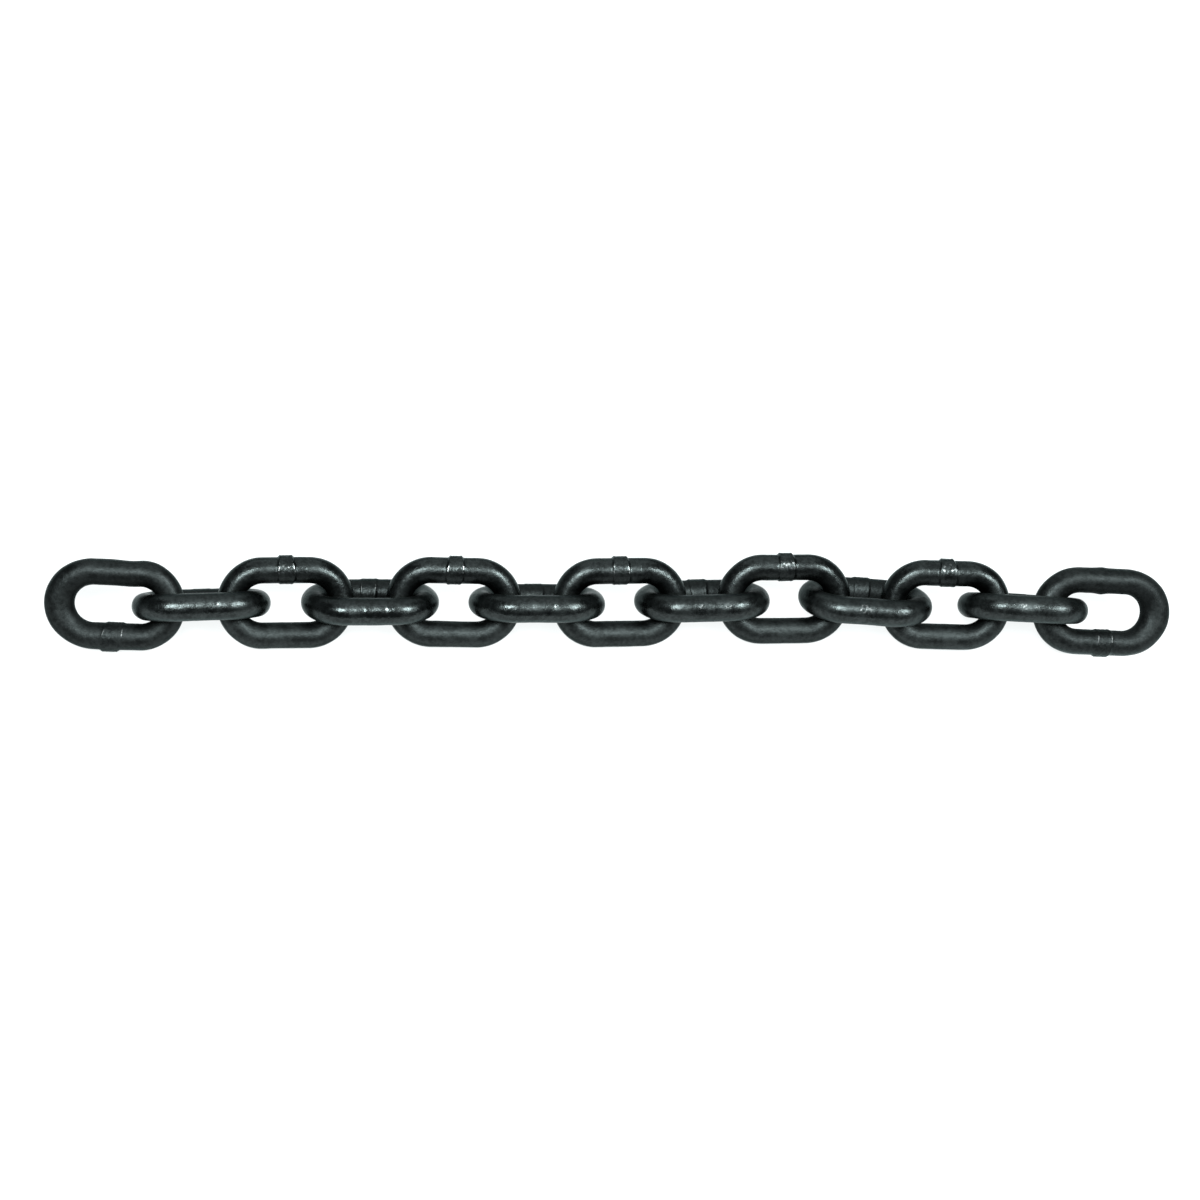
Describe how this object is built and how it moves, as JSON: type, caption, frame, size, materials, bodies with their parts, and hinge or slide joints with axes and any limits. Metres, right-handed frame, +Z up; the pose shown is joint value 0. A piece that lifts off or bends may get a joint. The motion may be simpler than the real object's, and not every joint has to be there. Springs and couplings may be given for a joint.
{
  "type": "short link chain",
  "caption": "Straight run of welded short link steel chain: round-bar links hooked into each other, a raised butt weld on one limb of each, black finish, plain open ends.",
  "frame": {"origin": "on the floor under the middle of the chain's outline", "axes": "+X along the chain, from the link that its joints are counted from to the last link; +Z up from the floor; +Y away from the side that the picture was taken from"},
  "size_m": [0.4084, 0.0336, 0.029],
  "materials": {
    "coated_steel": "thin glossy black coating over forged steel, worn bright in small spots",
    "bare_steel": "thinner satin black coating over forged steel"
  },
  "bodies": {
    "link_01": {"link_01": "bare_steel"},
    "link_02": {"link_02": "coated_steel"},
    "link_03": {"link_03": "coated_steel"},
    "link_04": {"link_04": "coated_steel"},
    "link_05": {"link_05": "coated_steel"},
    "link_06": {"link_06": "coated_steel"},
    "link_07": {"link_07": "coated_steel"},
    "link_08": {"link_08": "coated_steel"},
    "link_09": {"link_09": "coated_steel"},
    "link_10": {"link_10": "coated_steel"},
    "link_11": {"link_11": "coated_steel"},
    "link_12": {"link_12": "coated_steel"},
    "link_13": {"link_13": "bare_steel"}
  },
  "joints": [
    {"name": "link_02_swing", "type": "hinge", "parent": "link_01", "child": "link_02", "pos_m": [-0.15928, -0.00133, 0.01448], "axis": [0.0256, 0.7072, 0.7066], "range_deg": [-90, 90]},
    {"name": "link_03_swing", "type": "hinge", "parent": "link_02", "child": "link_03", "pos_m": [-0.12941, 0.00032, 0.01434], "axis": [-0.0215, 0.6153, -0.788], "range_deg": [-90, 90]},
    {"name": "link_04_swing", "type": "hinge", "parent": "link_03", "child": "link_04", "pos_m": [-0.09978, 0.00177, 0.01276], "axis": [0.0001, -0.6954, -0.7186], "range_deg": [-90, 90]},
    {"name": "link_05_swing", "type": "hinge", "parent": "link_04", "child": "link_05", "pos_m": [-0.06977, 0.00153, 0.01339], "axis": [-0.0073, -0.7771, 0.6293], "range_deg": [-90, 90]},
    {"name": "link_06_swing", "type": "hinge", "parent": "link_05", "child": "link_06", "pos_m": [-0.04021, 0.00025, 0.01421], "axis": [0.0061, 0.6694, 0.7429], "range_deg": [-90, 90]},
    {"name": "link_07_swing", "type": "hinge", "parent": "link_06", "child": "link_07", "pos_m": [-0.01002, 0.00113, 0.01309], "axis": [-0.034, 0.7004, -0.713], "range_deg": [-90, 90]},
    {"name": "link_08_swing", "type": "hinge", "parent": "link_07", "child": "link_08", "pos_m": [0.01987, 0.00173, 0.01324], "axis": [0.0137, -0.6819, -0.7314], "range_deg": [-90, 90]},
    {"name": "link_09_swing", "type": "hinge", "parent": "link_08", "child": "link_09", "pos_m": [0.05016, 0.00268, 0.01335], "axis": [0.0197, -0.737, 0.6756], "range_deg": [-90, 90]},
    {"name": "link_10_swing", "type": "hinge", "parent": "link_09", "child": "link_10", "pos_m": [0.08016, 0.003, 0.01339], "axis": [-0.0103, 0.6819, 0.7314], "range_deg": [-90, 90]},
    {"name": "link_11_swing", "type": "hinge", "parent": "link_10", "child": "link_11", "pos_m": [0.11027, 0.0006, 0.01263], "axis": [0.04, 0.7977, -0.6017], "range_deg": [-90, 90]},
    {"name": "link_12_swing", "type": "hinge", "parent": "link_11", "child": "link_12", "pos_m": [0.13895, -0.0013, 0.01473], "axis": [-0.0051, -0.7083, -0.7059], "range_deg": [-90, 90]},
    {"name": "link_13_swing", "type": "hinge", "parent": "link_12", "child": "link_13", "pos_m": [0.16758, -0.00337, 0.01479], "axis": [-0.0504, -0.5857, 0.809], "range_deg": [-90, 90]}
  ]
}
